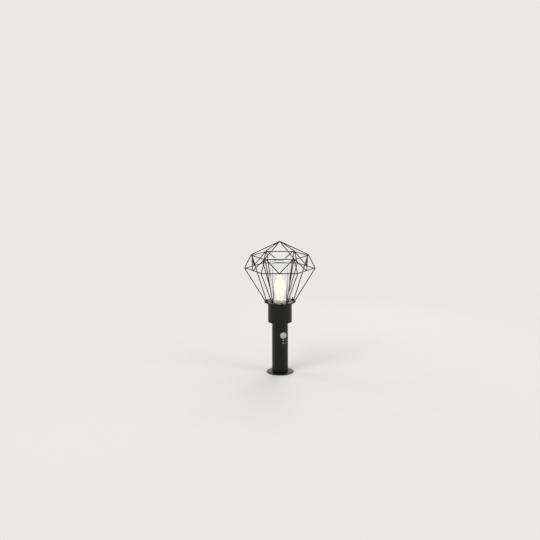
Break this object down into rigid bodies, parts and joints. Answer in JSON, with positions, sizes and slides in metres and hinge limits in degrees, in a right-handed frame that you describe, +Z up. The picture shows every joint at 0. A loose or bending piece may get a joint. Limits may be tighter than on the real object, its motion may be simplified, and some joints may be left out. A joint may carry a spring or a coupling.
{
  "type": "path light",
  "caption": "Path light: round foot, post with a motion sensor, collar, candle bulb in a glass cylinder, and a diamond-shaped cage of welded wire.",
  "frame": {"origin": "middle of the foot's underside, on the ground", "axes": "+Z up along the post, -Y towards the front of the picture, +X to its right"},
  "size_m": [0.2242, 0.1958, 0.4261],
  "materials": {
    "black_paint": "satin black powder coat",
    "black_zinc": "black passivated zinc",
    "bright_zinc": "bright zinc plate",
    "brass": "drawn brass",
    "rubber": "matte black rubber",
    "silicone": "translucent silicone",
    "clear_glass": "clear drawn glass",
    "bulb_glass": "satin frosted blown glass",
    "lens_plastic": "milky moulded polyethylene",
    "grey_plastic": "pale grey moulded plastic",
    "black_plastic": "black moulded plastic",
    "blue_plastic": "blue moulded plastic",
    "white_plastic": "white moulded plastic",
    "board": "green solder resist",
    "sensor_can": "nickel plated can",
    "porcelain": "white glazed porcelain",
    "cap_nickel": "nickel plated rolled thread",
    "vitrite": "black cap glass",
    "solder": "tin solder",
    "filament": "yellow phosphor over a ceramic strip"
  },
  "bodies": {
    "lamp": {"base_plate": "black_paint", "post_tube": "black_paint", "collar_cup": "black_paint", "gallery_plate": "black_paint", "cage_studs": "black_zinc", "grub_screws": "black_zinc", "carrier_screw": "black_zinc", "base_spigot": "bright_zinc", "post_cap": "bright_zinc", "terminal_bridge": "bright_zinc", "nipple": "bright_zinc", "nipple_nuts": "bright_zinc", "collar_screws": "bright_zinc", "terminal_screws": "bright_zinc", "holder_shell": "brass", "holder_contact": "brass", "earth_screw": "brass", "cable_grommet": "rubber", "lens_seal": "rubber", "glass_seal": "silicone", "pir_lens": "lens_plastic", "sensor_carrier": "black_plastic", "relay": "black_plastic", "capacitor": "black_plastic", "trimmer_pots": "blue_plastic", "terminal_block": "white_plastic", "sensor_board": "board", "pir_element": "sensor_can", "holder_body": "porcelain"},
    "shade": {"rib_1": "black_paint", "rib_2": "black_paint", "rib_3": "black_paint", "rib_4": "black_paint", "rib_5": "black_paint", "rib_6": "black_paint", "vee_1": "black_paint", "vee_2": "black_paint", "vee_3": "black_paint", "vee_4": "black_paint", "vee_5": "black_paint", "vee_6": "black_paint", "stay_1": "black_paint", "stay_2": "black_paint", "stay_3": "black_paint", "stay_4": "black_paint", "stay_5": "black_paint", "stay_6": "black_paint", "upper_ring": "black_paint", "girdle_ring": "black_paint", "cage_base_ring": "black_paint", "cage_nuts": "black_zinc", "glass_cover": "clear_glass"},
    "bulb": {"bulb_cap": "cap_nickel", "bulb_insulator": "vitrite", "bulb_tip": "solder", "bulb_envelope": "bulb_glass", "bulb_stem": "bulb_glass", "bulb_filaments": "filament"},
    "time_control": {"time_trimmer": "grey_plastic"},
    "lux_control": {"lux_trimmer": "grey_plastic"}
  },
  "joints": [
    {"name": "shade_lift", "type": "slide", "parent": "lamp", "child": "shade", "axis": [0, 0, 1], "range_m": [0, 0.1]},
    {"name": "bulb_turn", "type": "hinge", "parent": "lamp", "child": "bulb", "pos_m": [0, 0, 0.225], "axis": [0, 0, 1], "range_deg": [0, 360]},
    {"name": "time_turn", "type": "hinge", "parent": "lamp", "child": "time_control", "pos_m": [0.00944, -0.01987, 0.1099], "axis": [0.4289, -0.9033, 0], "range_deg": [-135, 135]},
    {"name": "lux_turn", "type": "hinge", "parent": "lamp", "child": "lux_control", "pos_m": [0.00944, -0.01987, 0.1003], "axis": [0.4289, -0.9033, 0], "range_deg": [-135, 135]}
  ]
}
